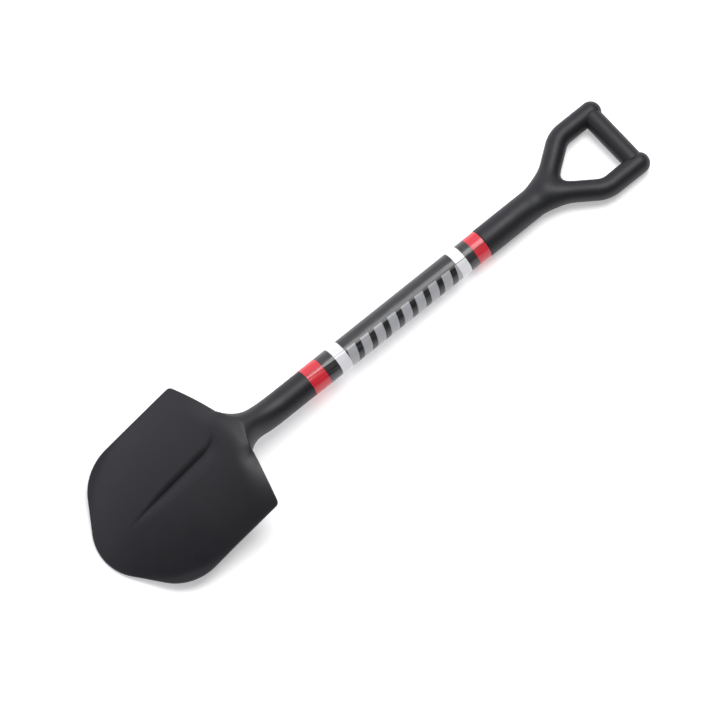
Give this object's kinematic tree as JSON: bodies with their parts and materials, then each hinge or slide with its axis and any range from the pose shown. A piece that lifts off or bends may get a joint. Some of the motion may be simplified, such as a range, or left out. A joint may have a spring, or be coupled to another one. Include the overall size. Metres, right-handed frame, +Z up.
{
  "type": "shovel",
  "caption": "Compact rigid round-point shovel: arched pointed steel blade with a rolled neck, banded and striped tube, and a D-grip with a round crossbar.",
  "frame": {"origin": "on the floor that the shovel lies on, under the middle of its bounding box; it lies hollow side down on the blade's tip and the grip's arms", "axes": "+X from the blade's tip to the grip, +Y across the blade, +Z up, out of the blade's arched back"},
  "size_m": [0.6818, 0.1712, 0.0601],
  "materials": {
    "blade_steel": "satin black powder coat",
    "tube_steel": "satin black powder coat",
    "label_film": "glossy printed film, dark grey with slanted grey stripes",
    "red_film": "glossy printed film",
    "black_film": "glossy printed film",
    "white_film": "glossy printed film",
    "grip_plastic": "satin moulded plastic",
    "bar_plastic": "satin moulded plastic",
    "rod_steel": "plain drawn bar",
    "plug_plastic": "plain moulded plastic",
    "rivet_steel": "blackened steel",
    "screw_steel": "zinc plated"
  },
  "bodies": {
    "root": {"blade": "blade_steel", "shaft_tube": "tube_steel", "socket_plug": "plug_plastic", "grip_plug": "plug_plastic", "socket_rivet": "rivet_steel", "grip_screws": "screw_steel", "grip_yoke": "grip_plastic", "crossbar_sleeve": "bar_plastic", "crossbar_core": "rod_steel", "lower_red_band": "red_film", "upper_red_band": "red_film", "lower_black_band": "black_film", "upper_black_band": "black_film", "lower_white_band": "white_film", "upper_white_band": "white_film", "wrap_label": "label_film"}
  },
  "joints": []
}
